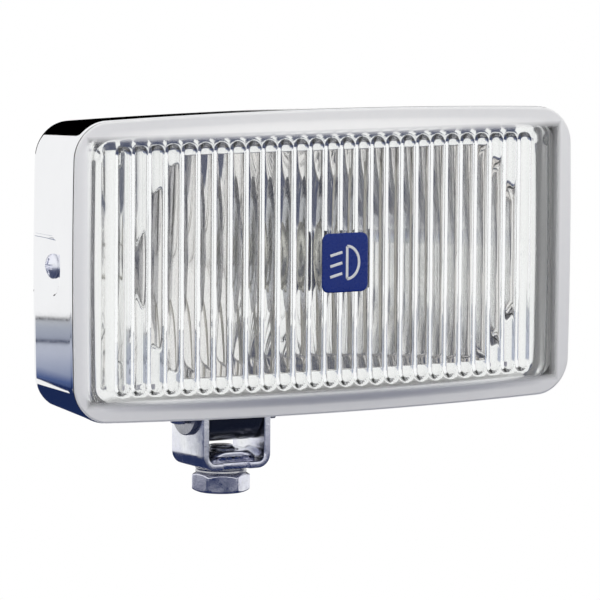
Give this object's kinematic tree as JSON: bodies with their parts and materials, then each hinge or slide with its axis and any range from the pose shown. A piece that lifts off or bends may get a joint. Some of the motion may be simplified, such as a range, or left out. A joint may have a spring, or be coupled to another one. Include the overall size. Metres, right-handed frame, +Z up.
{
  "type": "fog light",
  "caption": "Rectangular auxiliary fog light with a fluted glass lens in a chromed housing, on an upright bracket that swivels and tilts.",
  "frame": {"origin": "where the mounting bolt's axis meets the underside of the bracket, the plane that sits on the vehicle's panel", "axes": "+Z up along the mounting bolt, -Y the way the lens faces, +X to the right seen from the front"},
  "size_m": [0.185, 0.0935, 0.1314],
  "materials": {
    "chrome": "bright chrome plate on pressed steel",
    "lens_glass": "clear pressed glass with upright flutes",
    "black_rubber": "matt black rubber",
    "badge_blue": "gloss blue label",
    "reflector_silver": "vacuum-metallised, mirror bright",
    "plain_steel": "plain bright steel",
    "bulb_metal": "bare metal",
    "bulb_glass": "clear quartz glass",
    "lead_red": "red wire insulation",
    "terminal_plastic": "ivory moulded plastic",
    "brass": "plain brass",
    "zinc_plate": "bright zinc plate",
    "black_paint": "gloss black paint"
  },
  "bodies": {
    "mount": {"mounting_bolt": "zinc_plate", "lock_washer": "zinc_plate"},
    "yoke": {"bracket": "zinc_plate", "square_nut": "zinc_plate", "tilt_bolt": "zinc_plate", "tilt_washer": "zinc_plate", "tilt_lock_washer": "plain_steel", "tilt_nut": "plain_steel"},
    "lamp": {"housing": "chrome", "lens": "lens_glass", "lens_gasket": "black_rubber", "lens_badge": "badge_blue", "reflector": "reflector_silver", "bulb_holder": "plain_steel", "bulb_base": "bulb_metal", "bulb_glass": "bulb_glass", "bulb_filament": "bulb_metal", "bulb_shield": "reflector_silver", "bulb_lead": "lead_red", "terminal_block": "terminal_plastic", "terminal_screws": "brass", "side_screw_left": "zinc_plate", "side_screw_right": "zinc_plate", "side_clip_left": "plain_steel", "side_clip_right": "plain_steel", "cable_grommet": "black_rubber", "breather_plug": "black_rubber", "mounting_foot": "black_paint", "foot_plate": "zinc_plate", "foot_screws": "zinc_plate"},
    "clip": {"bulb_clip": "plain_steel"}
  },
  "joints": [
    {"name": "swivel", "type": "hinge", "parent": "mount", "child": "yoke", "pos_m": [0, 0, 0], "axis": [0, 0, 1], "continuous": true},
    {"name": "tilt", "type": "hinge", "parent": "yoke", "child": "lamp", "pos_m": [0, 0, 0.02], "axis": [1, 0, 0], "range_deg": [-45, 30]},
    {"name": "bulb_clip_hinge", "type": "hinge", "parent": "lamp", "child": "clip", "pos_m": [-0.013, -0.0171, 0.0742], "axis": [0, 0, 1], "range_deg": [0, 60]}
  ]
}
